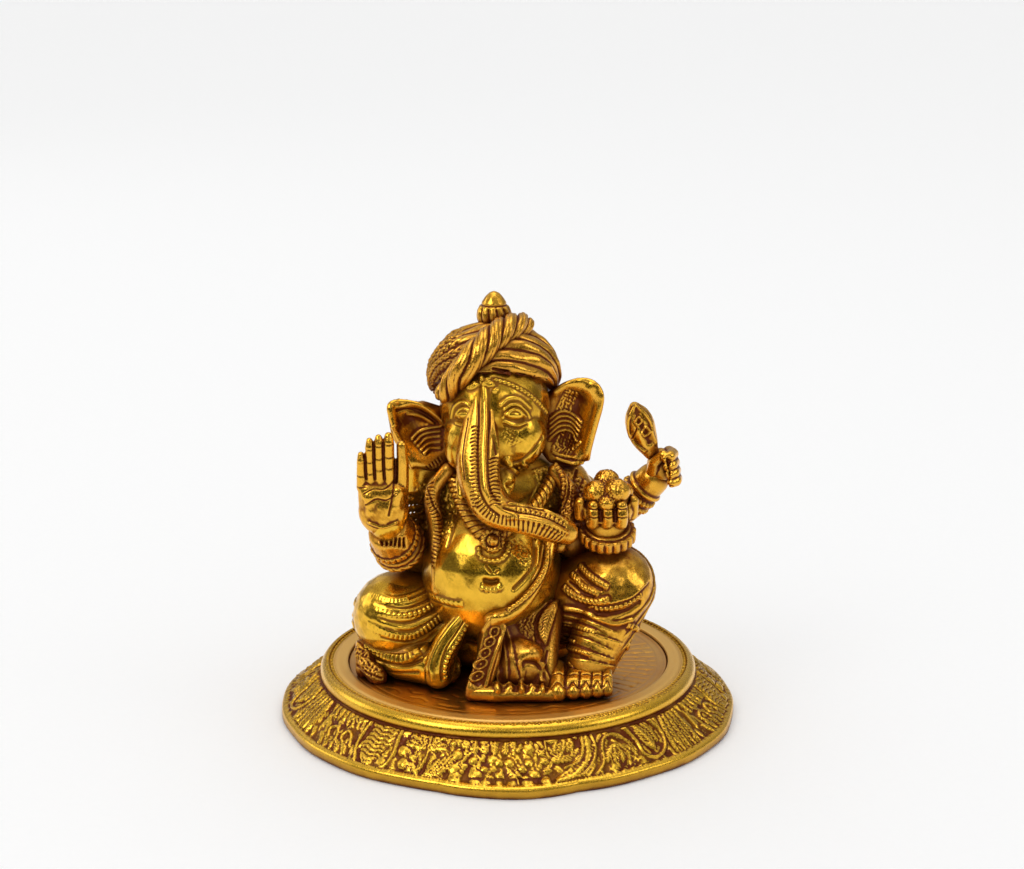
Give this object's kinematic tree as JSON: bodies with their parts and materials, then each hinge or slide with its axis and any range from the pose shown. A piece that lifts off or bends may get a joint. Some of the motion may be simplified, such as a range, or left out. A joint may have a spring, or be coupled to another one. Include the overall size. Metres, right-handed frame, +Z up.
{
  "type": "ganesha figurine",
  "caption": "Cast brass figure of a seated elephant-headed deity in a turban, one palm raised, on a round flared plinth with leaf relief.",
  "frame": {"origin": "centre of the plinth's underside, on the surface it stands on", "axes": "+Z up through the figure, +X towards the figure's left hand with the sweets, and the figure faces -Y"},
  "size_m": [0.114, 0.1176, 0.1067],
  "materials": {
    "cast_brass": "polished on the high points, dark patina in the recesses",
    "plinth_brass": "gilded and antiqued relief, satin",
    "floor_brass": "satin, darkened, with scratched engraving",
    "steel": "zinc-plated screws and washers"
  },
  "bodies": {
    "root": {"plinth": "plinth_brass", "floor_disc": "floor_brass", "hold_down_screws": "steel", "hold_down_washers": "steel", "torso": "cast_brass", "right_leg": "cast_brass", "left_leg": "cast_brass", "left_foot": "cast_brass", "lap_drape": "cast_brass", "hem_fold": "cast_brass", "apron_panel": "cast_brass", "dhoti_fold": "cast_brass", "sash_tail": "cast_brass", "waist_sash": "cast_brass", "right_arm": "cast_brass", "right_bangles": "cast_brass", "right_hand": "cast_brass", "left_front_arm": "cast_brass", "left_cuff": "cast_brass", "sweet_hand": "cast_brass", "sweets": "cast_brass", "left_rear_arm": "cast_brass", "left_rear_hand": "cast_brass", "lotus_bud": "cast_brass", "head": "cast_brass", "trunk": "cast_brass", "right_tusk": "cast_brass", "left_tusk": "cast_brass", "right_ear": "cast_brass", "left_ear": "cast_brass", "turban": "cast_brass", "turban_twist": "cast_brass", "finial": "cast_brass", "necklace": "cast_brass", "right_scarf": "cast_brass", "left_scarf": "cast_brass"}
  },
  "joints": []
}
